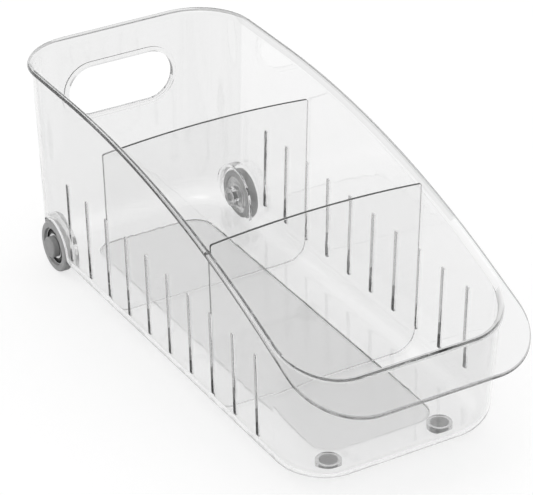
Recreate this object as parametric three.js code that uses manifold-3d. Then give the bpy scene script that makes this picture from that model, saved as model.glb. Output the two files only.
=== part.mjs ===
// A clear rolling drawer bin for a fridge shelf, with two lift-out dividers.
// Millimetres, +Z up. The low end with the wide lip faces -Y, the tall end with the hand hole +Y.
// The origin is on the surface that the bin stands on, under the middle of its plan.

import * as THREE from 'three';
import { mergeVertices } from 'three/addons/utils/BufferGeometryUtils.js';
import Module from 'manifold-3d';

const wasm = await Module();
wasm.setup();

const degrees = (angle) => (angle * Math.PI) / 180;

// Bin: the plan of its rim, and its heights above the surface it stands on
const rimWidth = 152.4;
const rimLength = 376;
const rimHeight = 139;
const levelRim = 83;
const rimArcRadius = 610;
const rimArcLength = 230;
const rimRearCorner = 38.4;
const rimFrontCorner = 38;
const undersideHeight = 4.6;

// Bin: walls, floor and the edges where they meet
const wall = 2;
const floorThickness = 2.2;
const sideDraft = Math.tan(degrees(1.34));
const frontDraft = Math.tan(degrees(3.5));
const wallRearCorner = 33;
const wallFrontCorner = 34;
const bottomRounding = 14;

// Rim: a turned-out flange along the sides and the rear, and a wide lip in front
const flangeReach = 3;
const lipReach = 25.8;
const flangeThickness = 2.4;
const flangeEdgeRounding = 0.9;
const turnWidth = 3.4;
const turnDepth = 5;
const underTurn = 1.4;

// Hand hole in the rear wall
const handHoleWidth = 74.6;
const handHoleHeight = 33.8;
const handHoleBelowRim = 39.9;
const collarWidth = 2.8;
const collarReach = 1.2;

// Divider slots in both side walls
const slotCount = 10;
const slotPitch = 25.4;
const firstSlotFromRear = 67.75;
const slotWidth = 2.8;
const slotLength = 54.4;
const slotBottomHeight = 19.8;

// Stepped panel in the floor
const panelWidth = 78;
const panelLength = 277;
const panelFromFront = 61.5;
const panelCorner = 14;
const panelDepth = 0.6;

// Dividers
const dividerSlots = { rear_divider: 3, front_divider: 8 };
const dividerThickness = 2;
const dividerSideHeight = 118.2;
const dividerCrown = 3.2;
const dividerBottomCorner = 13;
const dividerTopCorner = 1.6;
const tabHeight = 13;

// Rear wheels
const wheelRadius = 16.7;
const wheelWidth = 6;
const wheelInset = 0.2;
const axleFromRear = 40.25;
const tyreDepth = 4.5;
const tyreFaceEdge = 1.4;
const tyreBackEdge = 0.8;
const tyreRib = 1;
const tyreRibWidth = 2;
const hubSetback = 1.5;
const hubBackSetback = 0.6;
const hubCollarRadius = 5.5;
const hubSeatRadius = 8.2;
const hubRimWidth = 0.9;
const hubFaceGroove = 1.6;
const hubBackGroove = 1;
const wellClearance = 2.4;

// Axle pins
const pinRadius = 2.5;
const pinHeadRadius = 6.8;
const pinHeadThickness = 4;
const pinHeadRounding = 1;
const pinBossRadius = 6.2;
const pinBossLength = 3;
const pinTipChamfer = 0.5;

// Front feet
const footFromSide = 39;
const footFromFront = 57.4;
const footRadius = 5.4;
const footEdge = 0.6;
const footRingWall = 2;
const footRingHeight = 3.4;

// Clearances, cuts and facets
const gap = 0.3;
const tyreGap = 0.2;
const overrun = 5;
const cornerSteps = 8;
const sideSteps = 14;
const endSteps = 5;
const roundingSteps = 5;
const turnSteps = 3;
const edgeSteps = 2;
const endArcSteps = 6;
const discSteps = 36;
const pinSteps = 24;
const settlingPasses = 6;

// Places worked out from the sizes above
const rearEnd = rimLength / 2;
const frontEnd = -rimLength / 2;
const wallHalfTop = rimWidth / 2 - flangeReach;
const wallRearTop = rearEnd - flangeReach;
const frontRimHeight = rimHeightAt(frontEnd + lipReach);
const wallFrontTop = frontEnd + lipReach;
const floorHeight = undersideHeight + floorThickness;
const slotTopHeight = slotBottomHeight + slotLength;
const axleY = rearEnd - axleFromRear;
const axleZ = wheelRadius;
const wheelFace = wallPlan(axleZ).half - wheelInset;
const wheelBack = wheelFace - wheelWidth;
const tyreBore = wheelRadius - tyreDepth;
const hubFace = wheelFace - hubSetback;
const hubBack = wheelBack + hubBackSetback;
const hubCollarFace = wheelBack - hubBackSetback - tyreGap;
const wellFace = hubCollarFace - gap;
const wellBack = wellFace - wall;
const bossEnd = wellBack - pinBossLength;
const wellRadius = wheelRadius + wellClearance;
const pinBore = pinRadius + gap;
const footX = rimWidth / 2 - footFromSide;
const footY = frontEnd + footFromFront;
const handHoleZ = rimHeight - handHoleBelowRim;

// Axes that turn a drawn shape to stand across the bin or along it
const drawnAcross = new THREE.Matrix4().makeBasis(
  new THREE.Vector3(0, 1, 0), new THREE.Vector3(0, 0, 1), new THREE.Vector3(1, 0, 0));
const drawnAlong = new THREE.Matrix4().makeBasis(
  new THREE.Vector3(1, 0, 0), new THREE.Vector3(0, 0, 1), new THREE.Vector3(0, -1, 0));

// Height of the rim at a place along the bin: level at the rear, then down a long arc,
// and from the end of the arc straight on to the lip
function rimHeightAt(y) {
  const along = Math.max(0, rearEnd - levelRim - y);
  const curved = Math.min(along, rimArcLength);
  const rise = Math.sqrt(rimArcRadius ** 2 - curved ** 2);
  return rimHeight - rimArcRadius + rise - (along - curved) * (curved / rise);
}

// Half width and ends of the drafted walls' outer face at a height
function wallPlan(z) {
  return {
    half: wallHalfTop - sideDraft * (rimHeight - z),
    rear: wallRearTop - sideDraft * (rimHeight - z),
    front: wallFrontTop + frontDraft * (frontRimHeight - z),
    rearCorner: wallRearCorner,
    frontCorner: wallFrontCorner,
  };
}

const rimPlan = {
  half: rimWidth / 2,
  rear: rearEnd,
  front: frontEnd,
  rearCorner: rimRearCorner,
  frontCorner: rimFrontCorner,
};

// The same plan grown outward, or shrunk where the amount is negative
function grown(plan, amount) {
  return {
    half: plan.half + amount,
    rear: plan.rear + amount,
    front: plan.front - amount,
    rearCorner: plan.rearCorner + amount,
    frontCorner: plan.frontCorner + amount,
  };
}

// Points round a rounded rectangle, counterclockwise seen from above, always as many
function planPoints(plan) {
  const corners = [
    [plan.half - plan.frontCorner, plan.front + plan.frontCorner, plan.frontCorner, -90],
    [plan.half - plan.rearCorner, plan.rear - plan.rearCorner, plan.rearCorner, 0],
    [plan.rearCorner - plan.half, plan.rear - plan.rearCorner, plan.rearCorner, 90],
    [plan.frontCorner - plan.half, plan.front + plan.frontCorner, plan.frontCorner, 180],
  ];
  const arcs = corners.map(([x, y, radius, start]) =>
    Array.from({ length: cornerSteps + 1 }, (_, i) => {
      const angle = degrees(start + (90 * i) / cornerSteps);
      return new THREE.Vector2(x + radius * Math.cos(angle), y + radius * Math.sin(angle));
    }));
  const points = [];
  arcs.forEach((arc, corner) => {
    points.push(...arc);
    const next = arcs[(corner + 1) % arcs.length][0];
    const steps = corner % 2 === 0 ? sideSteps : endSteps;
    for (let i = 1; i < steps; i += 1) {
      points.push(arc[cornerSteps].clone().lerp(next, i / steps));
    }
  });
  return points;
}

// A ring round the wall at one height, grown by an amount
function levelRing(z, amount) {
  return planPoints(grown(wallPlan(z), amount)).map((p) => new THREE.Vector3(p.x, p.y, z));
}

// A ring that follows the rim, lowered by a depth, on the drafted wall grown by an amount
function wallRimRing(amount, depth) {
  const count = planPoints(rimPlan).length;
  return Array.from({ length: count }, (_, i) => {
    let z = rimHeight;
    for (let pass = 0; pass < settlingPasses; pass += 1) {
      z = rimHeightAt(planPoints(grown(wallPlan(z), amount))[i].y) - depth;
    }
    const p = planPoints(grown(wallPlan(z), amount))[i];
    return new THREE.Vector3(p.x, p.y, z);
  });
}

// A ring round the outer edge of the flange and lip, lowered from the rim by a depth
function edgeRing(amount, depth) {
  const points = planPoints(grown(rimPlan, amount));
  return points.map((p) => new THREE.Vector3(p.x, p.y, rimHeightAt(p.y) - depth));
}

// Rings of a rounded bottom edge, from the flat underside up to the wall
function bottomRings(inset, bottom, radius) {
  return Array.from({ length: roundingSteps + 1 }, (_, i) => {
    const angle = (Math.PI / 2) * (i / roundingSteps);
    const z = bottom + radius * (1 - Math.cos(angle));
    return levelRing(z, radius * (Math.sin(angle) - 1) - inset);
  });
}

// A closed skin through rings of equal count, capped flat at both ends
function skin(rings) {
  const positions = rings.flatMap((ring) => ring.flatMap((p) => [p.x, p.y, p.z]));
  const count = rings[0].length;
  const index = [];
  for (let r = 0; r + 1 < rings.length; r += 1) {
    for (let i = 0; i < count; i += 1) {
      const a = r * count + i;
      const b = r * count + ((i + 1) % count);
      index.push(a, b, b + count, a, b + count, a + count);
    }
  }
  const cap = (r, flip) => {
    const contour = rings[r].map((p) => new THREE.Vector2(p.x, p.y));
    THREE.ShapeUtils.triangulateShape(contour, []).forEach(([a, b, c]) => {
      const face = flip ? [c, b, a] : [a, b, c];
      index.push(...face.map((v) => r * count + v));
    });
  };
  cap(0, true);
  cap(rings.length - 1, false);
  const geometry = new THREE.BufferGeometry();
  geometry.setAttribute('position', new THREE.Float32BufferAttribute(positions, 3));
  geometry.setIndex(index);
  return geometry;
}

// Conversions between a closed geometry and a solid that can be cut and joined
function solid(geometry) {
  const bare = geometry.clone();
  bare.deleteAttribute('normal');
  bare.deleteAttribute('uv');
  const merged = mergeVertices(bare);
  return new wasm.Manifold(new wasm.Mesh({
    numProp: 3,
    vertProperties: new Float32Array(merged.attributes.position.array),
    triVerts: new Uint32Array(merged.index.array),
  }));
}

function surface(manifold) {
  const mesh = manifold.getMesh();
  const geometry = new THREE.BufferGeometry();
  geometry.setAttribute('position', new THREE.Float32BufferAttribute(mesh.vertProperties, 3));
  geometry.setIndex(Array.from(mesh.triVerts));
  const flat = geometry.toNonIndexed();
  flat.computeVertexNormals();
  return flat;
}

// A shape with straight sides and round ends, upright or lying, about a centre
function stadium(width, height, centreX, centreY) {
  const radius = Math.min(width, height) / 2;
  const dx = width / 2 - radius;
  const dy = height / 2 - radius;
  const shape = new THREE.Shape();
  if (dy > dx) {
    shape.absarc(centreX, centreY + dy, radius, 0, Math.PI);
    shape.absarc(centreX, centreY - dy, radius, Math.PI, 2 * Math.PI);
  } else {
    shape.absarc(centreX + dx, centreY, radius, -Math.PI / 2, Math.PI / 2);
    shape.absarc(centreX - dx, centreY, radius, Math.PI / 2, (3 * Math.PI) / 2);
  }
  return shape;
}

function roundedRectangle(width, length, corner) {
  const shape = new THREE.Shape();
  const x = width / 2 - corner;
  const y = length / 2 - corner;
  shape.absarc(x, y, corner, 0, Math.PI / 2);
  shape.absarc(-x, y, corner, Math.PI / 2, Math.PI);
  shape.absarc(-x, -y, corner, Math.PI, (3 * Math.PI) / 2);
  shape.absarc(x, -y, corner, (3 * Math.PI) / 2, 2 * Math.PI);
  return shape;
}

function extruded(shape, depth, steps = endArcSteps) {
  return new THREE.ExtrudeGeometry(shape, { depth, bevelEnabled: false, curveSegments: steps });
}

// A cylinder on a wheel's axis, between two distances from the middle of the bin, on one side of it
function acrossCylinder(radius, from, to, side) {
  const geometry = new THREE.CylinderGeometry(radius, radius, to - from, pinSteps);
  geometry.rotateZ(Math.PI / 2);
  geometry.translate((side * (from + to)) / 2, axleY, axleZ);
  return geometry;
}

// A space round the wheel: an arch over it, and straight down to below the bin
function wheelSpace(radius, from, to, side) {
  const shape = new THREE.Shape();
  shape.absarc(axleY, axleZ, radius, 0, Math.PI);
  shape.lineTo(axleY - radius, -overrun);
  shape.lineTo(axleY + radius, -overrun);
  const geometry = extruded(shape, to - from, 2 * cornerSteps);
  geometry.applyMatrix4(drawnAcross);
  geometry.translate(side > 0 ? from : -to, 0, 0);
  return geometry;
}

// The bare shell of the bin, from its underside out over the rim and down to its floor
function binShell() {
  const turn = Array.from({ length: turnSteps + 1 }, (_, i) => {
    const angle = (Math.PI / 2) * (i / turnSteps);
    const out = turnWidth * (1 - Math.sin(angle)) - wall;
    return wallRimRing(out, turnDepth * (1 - Math.cos(angle)));
  });
  const under = Array.from({ length: turnSteps + 1 }, (_, i) => {
    const angle = (Math.PI / 2) * (i / turnSteps);
    const depth = flangeThickness + underTurn * (1 - Math.sin(angle));
    return wallRimRing(underTurn * (1 - Math.cos(angle)), depth);
  });
  const edge = [];
  for (let i = 0; i <= 2 * edgeSteps; i += 1) {
    const angle = (Math.PI / 2) * (i / edgeSteps) - Math.PI / 2;
    const lower = i <= edgeSteps ? flangeThickness - flangeEdgeRounding : flangeEdgeRounding;
    const depth = lower - flangeEdgeRounding * Math.sin(angle);
    edge.push(edgeRing(flangeEdgeRounding * (Math.cos(angle) - 1), depth));
    if (i === edgeSteps) {
      edge.push(edgeRing(0, flangeEdgeRounding));
    }
  }
  return solid(skin([
    ...bottomRings(0, undersideHeight, bottomRounding),
    ...under,
    ...edge,
    ...turn,
    ...bottomRings(wall, floorHeight, bottomRounding - wall).reverse(),
  ]));
}

// A block that ends inside the thickness of the walls and floor, to trim what is joined to them
function wallCore() {
  const rounding = bottomRounding - wall / 2;
  return solid(skin([
    ...bottomRings(wall / 2, undersideHeight + floorThickness / 2, rounding),
    levelRing(slotTopHeight, -wall / 2),
  ]));
}

function binBody() {
  let body = binShell();
  const core = wallCore();
  for (const side of [-1, 1]) {
    const housing = solid(wheelSpace(wellRadius + wall, wellBack, rimWidth / 2, side)).intersect(core);
    const well = solid(wheelSpace(wellRadius, wellFace, rimWidth / 2 + overrun, side));
    const boss = solid(acrossCylinder(pinBossRadius, bossEnd, wellFace - wall / 2, side));
    const bore = solid(acrossCylinder(pinBore, bossEnd - overrun, wellFace + overrun, side));
    body = body.add(housing).add(boss).subtract(well).subtract(bore).add(footRing(side));
  }
  for (let i = 0; i < slotCount; i += 1) {
    const outline = stadium(slotWidth, slotLength, slotY(i + 1), slotBottomHeight + slotLength / 2);
    const slot = extruded(outline, rimWidth + 2 * overrun);
    slot.applyMatrix4(drawnAcross);
    slot.translate(-rimWidth / 2 - overrun, 0, 0);
    body = body.subtract(solid(slot));
  }
  const panel = extruded(roundedRectangle(panelWidth, panelLength, panelCorner), panelDepth + overrun);
  panel.translate(0, frontEnd + panelFromFront + panelLength / 2, floorHeight - panelDepth);
  body = body.subtract(solid(panel));
  return handHole(body);
}

// The collar round the hand hole, and the hole through it
function handHole(body) {
  const face = wallPlan(handHoleZ).rear;
  const collarAcross = handHoleWidth + 2 * collarWidth;
  const collarHigh = handHoleHeight + 2 * collarWidth;
  const collarOutline = stadium(collarAcross, collarHigh, 0, handHoleZ);
  const collar = extruded(collarOutline, collarReach + wall / 2, 2 * endArcSteps);
  collar.applyMatrix4(drawnAlong);
  collar.translate(0, face + collarReach, 0);
  const holeOutline = stadium(handHoleWidth, handHoleHeight, 0, handHoleZ);
  const hole = extruded(holeOutline, wall + 2 * overrun, 2 * endArcSteps);
  hole.applyMatrix4(drawnAlong);
  hole.translate(0, face + overrun, 0);
  return body.add(solid(collar)).subtract(solid(hole));
}

// A ring under the floor that holds a foot
function footRing(side) {
  const shape = new THREE.Shape().absarc(0, 0, footRadius + tyreGap + footRingWall, 0, 2 * Math.PI);
  shape.holes.push(new THREE.Path().absarc(0, 0, footRadius + tyreGap, 0, 2 * Math.PI, true));
  const ring = extruded(shape, footRingHeight + floorThickness / 2, pinSteps);
  ring.translate(side * footX, footY, undersideHeight - footRingHeight);
  return solid(ring);
}

// Place of a slot along the bin, counted from the rear
function slotY(number) {
  return rearEnd - firstSlotFromRear - (number - 1) * slotPitch;
}

// A divider drawn face on: sides along the drafted walls, round lower corners, a crowned top edge
// and a tab on each side that reaches into the slot as far as the draft lets it leave again
function dividerShape() {
  const tabBottom = slotBottomHeight + slotWidth / 2 + gap;
  const tabTop = tabBottom + tabHeight;
  const tabReach = sideDraft * (slotTopHeight - slotWidth / 2 - tabTop) - gap;
  const side = (z) => wallPlan(z).half - wall - gap;
  const bottom = floorHeight + gap;
  const draftAngle = Math.atan(sideDraft);
  const cornerZ = bottom + dividerBottomCorner;
  const cornerX = side(cornerZ) - dividerBottomCorner / Math.cos(draftAngle);
  const top = dividerSideHeight;
  const shape = new THREE.Shape();
  shape.absarc(cornerX, cornerZ, dividerBottomCorner, -Math.PI / 2, -draftAngle);
  shape.lineTo(side(tabBottom), tabBottom);
  shape.lineTo(side(tabBottom) + gap + tabReach, tabBottom);
  shape.lineTo(side(tabTop) + gap + tabReach, tabTop);
  shape.lineTo(side(tabTop), tabTop);
  shape.lineTo(side(top - dividerTopCorner), top - dividerTopCorner);
  shape.quadraticCurveTo(side(top), top, side(top) - dividerTopCorner, top);
  shape.quadraticCurveTo(0, top + 2 * dividerCrown, dividerTopCorner - side(top), top);
  shape.quadraticCurveTo(-side(top), top, -side(top - dividerTopCorner), top - dividerTopCorner);
  shape.lineTo(-side(tabTop), tabTop);
  shape.lineTo(-side(tabTop) - gap - tabReach, tabTop);
  shape.lineTo(-side(tabBottom) - gap - tabReach, tabBottom);
  shape.lineTo(-side(tabBottom), tabBottom);
  shape.absarc(-cornerX, cornerZ, dividerBottomCorner, Math.PI + draftAngle, (3 * Math.PI) / 2);
  return shape;
}

function divider(number) {
  const geometry = extruded(dividerShape(), dividerThickness, 2 * endArcSteps);
  geometry.applyMatrix4(drawnAlong);
  geometry.translate(0, slotY(number) + dividerThickness / 2, 0);
  return geometry;
}

// Points of a round edge in a turned piece's profile: a quarter turn about a centre, from an angle on
function roundedEdge(centreRadius, centreOut, radius, start) {
  return Array.from({ length: edgeSteps + 1 }, (_, i) => {
    const angle = degrees(start + (90 * i) / edgeSteps);
    return [centreRadius + radius * Math.cos(angle), centreOut + radius * Math.sin(angle)];
  });
}

// Turned pieces are drawn as radius and distance from the middle of the bin
function turned(profile, steps) {
  const points = profile.map(([radius, out]) => new THREE.Vector2(radius, out));
  points.push(points[0].clone());
  return new THREE.LatheGeometry(points, steps);
}

function tyre() {
  const middle = (hubFace + hubBack) / 2;
  const groove = tyreRibWidth / 2 + tyreGap;
  const inside = tyreBore + tyreGap;
  return turned([
    [inside, wheelBack],
    ...roundedEdge(wheelRadius - tyreBackEdge, wheelBack + tyreBackEdge, tyreBackEdge, -90),
    ...roundedEdge(wheelRadius - tyreFaceEdge, wheelFace - tyreFaceEdge, tyreFaceEdge, 0),
    [inside, wheelFace],
    [inside, middle + groove],
    [inside + tyreRib, middle + groove],
    [inside + tyreRib, middle - groove],
    [inside, middle - groove],
  ], discSteps);
}

// A hub has a thin web between a seat for the pin and a rim for the tyre, grooved on both sides
function wheelHub() {
  const middle = (hubFace + hubBack) / 2;
  const rib = tyreRibWidth / 2;
  const rimInside = tyreBore - hubRimWidth;
  return turned([
    [pinBore, hubCollarFace],
    [hubCollarRadius, hubCollarFace],
    [hubCollarRadius, hubBack],
    [hubSeatRadius, hubBack],
    [hubSeatRadius, hubBack + hubBackGroove],
    [rimInside, hubBack + hubBackGroove],
    [rimInside, hubBack],
    [tyreBore, hubBack],
    [tyreBore, middle - rib],
    [tyreBore + tyreRib, middle - rib],
    [tyreBore + tyreRib, middle + rib],
    [tyreBore, middle + rib],
    [tyreBore, hubFace],
    [rimInside, hubFace],
    [rimInside, hubFace - hubFaceGroove],
    [hubSeatRadius, hubFace - hubFaceGroove],
    [hubSeatRadius, hubFace],
    [pinBore, hubFace],
  ], discSteps);
}

function axlePin() {
  const headBack = hubFace + gap;
  const headFace = headBack + pinHeadThickness;
  return turned([
    [0, bossEnd],
    [pinRadius - pinTipChamfer, bossEnd],
    [pinRadius, bossEnd + pinTipChamfer],
    [pinRadius, headBack],
    [pinHeadRadius, headBack],
    ...roundedEdge(pinHeadRadius - pinHeadRounding, headFace - pinHeadRounding, pinHeadRounding, 0),
    [0, headFace],
  ], pinSteps);
}

function foot() {
  const top = undersideHeight - gap;
  return turned([
    [0, 0],
    [footRadius - footEdge, 0],
    [footRadius, footEdge],
    [footRadius, top],
    [0, top],
  ], pinSteps);
}

// Finishes
const finishes = {
  clearPlastic: () => new THREE.MeshStandardMaterial({
    color: 0xe9eef0, roughness: 0.08, metalness: 0, transparent: true, opacity: 0.45,
  }),
  tyreRubber: () => new THREE.MeshStandardMaterial({ color: 0x8b8d8f, roughness: 0.6, metalness: 0 }),
  greyPlastic: () => new THREE.MeshStandardMaterial({ color: 0xa2a4a6, roughness: 0.3, metalness: 0 }),
  footRubber: () => new THREE.MeshStandardMaterial({ color: 0x969899, roughness: 0.55, metalness: 0 }),
};

function piece(name, geometry, finish) {
  const mesh = new THREE.Mesh(geometry, finish());
  mesh.name = name;
  return mesh;
}

const organizer = new THREE.Group();
organizer.add(piece('bin_body', surface(binBody()), finishes.clearPlastic));
for (const [name, number] of Object.entries(dividerSlots)) {
  organizer.add(piece(name, divider(number), finishes.clearPlastic));
}
for (const [word, side] of [['left', -1], ['right', 1]]) {
  const corner = new THREE.Group();
  corner.position.set(0, axleY, axleZ);
  corner.rotation.z = (-side * Math.PI) / 2;
  corner.add(piece(`${word}_tyre`, tyre(), finishes.tyreRubber));
  corner.add(piece(`${word}_wheel_hub`, wheelHub(), finishes.greyPlastic));
  corner.add(piece(`${word}_axle_pin`, axlePin(), finishes.greyPlastic));
  organizer.add(corner);
  const frontFoot = piece(`${word}_front_foot`, foot(), finishes.footRubber);
  frontFoot.rotation.x = Math.PI / 2;
  frontFoot.position.set(side * footX, footY, 0);
  organizer.add(frontFoot);
}

export default organizer;
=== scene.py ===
import math

import bmesh
import bpy
from mathutils import Matrix, Vector


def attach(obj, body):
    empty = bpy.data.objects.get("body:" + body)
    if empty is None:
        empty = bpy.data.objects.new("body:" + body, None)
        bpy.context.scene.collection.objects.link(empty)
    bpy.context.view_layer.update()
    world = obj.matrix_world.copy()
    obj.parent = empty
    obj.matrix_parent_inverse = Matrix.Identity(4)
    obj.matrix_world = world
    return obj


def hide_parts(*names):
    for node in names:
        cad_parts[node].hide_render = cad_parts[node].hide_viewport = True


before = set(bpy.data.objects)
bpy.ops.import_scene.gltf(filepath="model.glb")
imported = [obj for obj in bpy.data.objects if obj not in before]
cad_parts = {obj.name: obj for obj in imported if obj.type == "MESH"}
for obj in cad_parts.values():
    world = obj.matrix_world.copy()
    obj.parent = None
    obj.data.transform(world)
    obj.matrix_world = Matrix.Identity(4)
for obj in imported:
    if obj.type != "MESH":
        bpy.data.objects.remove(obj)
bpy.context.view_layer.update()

# All sizes below are in millimetres, and MM turns them into the scene's metres
MM = 0.001

# Bin: the plan of its rim, and its heights above the surface it stands on
RIM_WIDTH = 152.4
RIM_LENGTH = 376.0
RIM_HEIGHT = 139.0
LEVEL_RIM = 83.0
RIM_ARC_RADIUS = 610.0
RIM_ARC_LENGTH = 230.0
RIM_REAR_CORNER = 38.4
RIM_FRONT_CORNER = 38.0
UNDERSIDE_HEIGHT = 4.6

# Bin: walls, floor and the edges where they meet
WALL = 2.0
FLOOR_THICKNESS = 2.2
SIDE_DRAFT = math.tan(math.radians(1.34))
FRONT_DRAFT = math.tan(math.radians(3.5))
WALL_REAR_CORNER = 33.0
WALL_FRONT_CORNER = 34.0
BOTTOM_ROUNDING = 14.0

# Rim: a turned-out flange along the sides and the rear, and a wide lip in front
FLANGE_REACH = 3.0
LIP_REACH = 25.8
FLANGE_THICKNESS = 2.4
FLANGE_EDGE_ROUNDING = 0.9
TURN_WIDTH = 3.4
TURN_DEPTH = 5.0
UNDER_TURN = 2.7

# Hand hole in the rear wall
HAND_HOLE_WIDTH = 74.6
HAND_HOLE_HEIGHT = 33.8
HAND_HOLE_BELOW_RIM = 39.9
COLLAR_WIDTH = 2.8
COLLAR_REACH = 1.2

# Divider slots in both side walls
SLOT_COUNT = 10
SLOT_PITCH = 25.4
FIRST_SLOT_FROM_REAR = 67.75
SLOT_WIDTH = 2.8
SLOT_LENGTH = 54.4
SLOT_BOTTOM_HEIGHT = 19.8

# Stepped panel in the floor
PANEL_WIDTH = 78.0
PANEL_LENGTH = 277.0
PANEL_FROM_FRONT = 61.5
PANEL_CORNER = 14.0
PANEL_DEPTH = 0.6
PANEL_STEP_SLOPE = 1.0

# Dividers
DIVIDER_SLOTS = {"rear_divider": 3, "front_divider": 8}
DIVIDER_THICKNESS = 2.0
DIVIDER_SIDE_HEIGHT = 118.2
DIVIDER_CROWN = 3.2
DIVIDER_BOTTOM_CORNER = 13.0
DIVIDER_TOP_CORNER = 1.6
DIVIDER_EDGE_ROUNDING = 0.3
TAB_HEIGHT = 13.0

# Rear wheels
WHEEL_RADIUS = 16.7
WHEEL_WIDTH = 6.0
WHEEL_INSET = 0.2
AXLE_FROM_REAR = 40.25
TYRE_DEPTH = 4.5
TYRE_FACE_EDGE = 1.4
TYRE_BACK_EDGE = 0.8
TYRE_RIB = 1.0
TYRE_RIB_WIDTH = 2.0
HUB_SETBACK = 1.5
HUB_BACK_SETBACK = 0.6
HUB_COLLAR_RADIUS = 5.5
HUB_SEAT_RADIUS = 8.2
HUB_RIM_WIDTH = 0.9
HUB_FACE_GROOVE = 1.6
HUB_BACK_GROOVE = 1.0
HUB_EDGE_ROUNDING = 0.25
HUB_RIDGE_WIDTH = 1.4
HUB_RIDGE_HEIGHT = 0.9
WELL_CLEARANCE = 2.4

# Axle pins
PIN_RADIUS = 2.5
PIN_HEAD_RADIUS = 6.8
PIN_HEAD_THICKNESS = 4.0
PIN_HEAD_ROUNDING = 1.0
PIN_BOSS_RADIUS = 6.2
PIN_BOSS_LENGTH = 3.0
PIN_TIP_CHAMFER = 0.5

# Front feet
FOOT_FROM_SIDE = 39.0
FOOT_FROM_FRONT = 57.4
FOOT_RADIUS = 5.4
FOOT_EDGE = 0.6
FOOT_RING_WALL = 2.0
FOOT_RING_HEIGHT = 3.4

# Clearances, cuts and how finely the curves are drawn
GAP = 0.3
TYRE_GAP = 0.2
OVERRUN = 5.0
CORNER_STEPS = 20
SIDE_STEPS = 44
END_STEPS = 2
ROUNDING_STEPS = 10
TURN_STEPS = 9
EDGE_STEPS = 4
ARC_STEPS = 24
TURNED_STEPS = 96
EDGE_SEGMENTS = 3
SLOT_END_STEPS = 6
SLOT_END_SHARE = 0.499
SETTLING_PASSES = 6
DOUBLES_WITHIN = 0.001
CUTTER_DOUBLES_WITHIN = 0.01
SHARP_FROM = math.radians(32)

# Places worked out from the sizes above
REAR_END = RIM_LENGTH / 2
FRONT_END = -RIM_LENGTH / 2
WALL_HALF_TOP = RIM_WIDTH / 2 - FLANGE_REACH
WALL_REAR_TOP = REAR_END - FLANGE_REACH
WALL_FRONT_TOP = FRONT_END + LIP_REACH
FLOOR_HEIGHT = UNDERSIDE_HEIGHT + FLOOR_THICKNESS
SLOT_TOP_HEIGHT = SLOT_BOTTOM_HEIGHT + SLOT_LENGTH
AXLE_Y = REAR_END - AXLE_FROM_REAR
AXLE_Z = WHEEL_RADIUS
FOOT_X = RIM_WIDTH / 2 - FOOT_FROM_SIDE
FOOT_Y = FRONT_END + FOOT_FROM_FRONT
HAND_HOLE_Z = RIM_HEIGHT - HAND_HOLE_BELOW_RIM
PANEL_MIDDLE_Y = FRONT_END + PANEL_FROM_FRONT + PANEL_LENGTH / 2


def rim_height_at(y):
    """Height of the rim: level at the rear, then down a long arc, then straight on to the lip."""
    along = max(0.0, REAR_END - LEVEL_RIM - y)
    curved = min(along, RIM_ARC_LENGTH)
    rise = math.sqrt(RIM_ARC_RADIUS ** 2 - curved ** 2)
    return RIM_HEIGHT - RIM_ARC_RADIUS + rise - (along - curved) * curved / rise


FRONT_RIM_HEIGHT = rim_height_at(FRONT_END + LIP_REACH)


def wall_half(z):
    return WALL_HALF_TOP - SIDE_DRAFT * (RIM_HEIGHT - z)


def wall_rear(z):
    return WALL_REAR_TOP - SIDE_DRAFT * (RIM_HEIGHT - z)


def wall_front(z):
    return WALL_FRONT_TOP + FRONT_DRAFT * (FRONT_RIM_HEIGHT - z)


WHEEL_FACE = wall_half(AXLE_Z) - WHEEL_INSET
WHEEL_BACK = WHEEL_FACE - WHEEL_WIDTH
TYRE_BORE = WHEEL_RADIUS - TYRE_DEPTH
HUB_FACE = WHEEL_FACE - HUB_SETBACK
HUB_BACK = WHEEL_BACK + HUB_BACK_SETBACK
HUB_COLLAR_FACE = WHEEL_BACK - HUB_BACK_SETBACK - TYRE_GAP
WELL_FACE = HUB_COLLAR_FACE - GAP
WELL_BACK = WELL_FACE - WALL
BOSS_END = WELL_BACK - PIN_BOSS_LENGTH
WELL_RADIUS = WHEEL_RADIUS + WELL_CLEARANCE
PIN_BORE = PIN_RADIUS + GAP


# Mesh helpers

def new_piece(name, points, faces):
    """A piece from points in millimetres, its doubles merged and its faces turned outwards."""
    mesh = bpy.data.meshes.new(name)
    mesh.from_pydata([Vector(point) * MM for point in points], [], faces)
    shape = bmesh.new()
    shape.from_mesh(mesh)
    bmesh.ops.remove_doubles(shape, verts=shape.verts, dist=DOUBLES_WITHIN * MM)
    bmesh.ops.recalc_face_normals(shape, faces=shape.faces)
    shape.to_mesh(mesh)
    shape.free()
    piece = bpy.data.objects.new(name, mesh)
    bpy.context.collection.objects.link(piece)
    return piece


def drop_piece(piece):
    mesh = piece.data
    bpy.data.objects.remove(piece)
    bpy.data.meshes.remove(mesh)


def settle(piece):
    """Turns what the modifiers make into the piece's own mesh."""
    graph = bpy.context.evaluated_depsgraph_get()
    settled = bpy.data.meshes.new_from_object(piece.evaluated_get(graph))
    piece.modifiers.clear()
    old = piece.data
    piece.data = settled
    bpy.data.meshes.remove(old)


def smooth(piece):
    """Round surfaces shade round, flat ones flat, and edges stay crisp."""
    mesh = piece.data
    mesh.shade_smooth()
    mesh.set_sharp_from_angle(angle=SHARP_FROM)
    even = piece.modifiers.new("even_shading", "WEIGHTED_NORMAL")
    even.keep_sharp = True
    settle(piece)


def rounded_edges(piece, width):
    edges = piece.modifiers.new("rounded_edges", "BEVEL")
    edges.width = width * MM
    edges.segments = EDGE_SEGMENTS
    edges.limit_method = "ANGLE"
    edges.angle_limit = SHARP_FROM
    edges.harden_normals = False


def combine(piece, other, operation):
    change = piece.modifiers.new(operation.lower(), "BOOLEAN")
    change.operation = operation
    change.solver = "MANIFOLD"
    change.object = other


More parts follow.
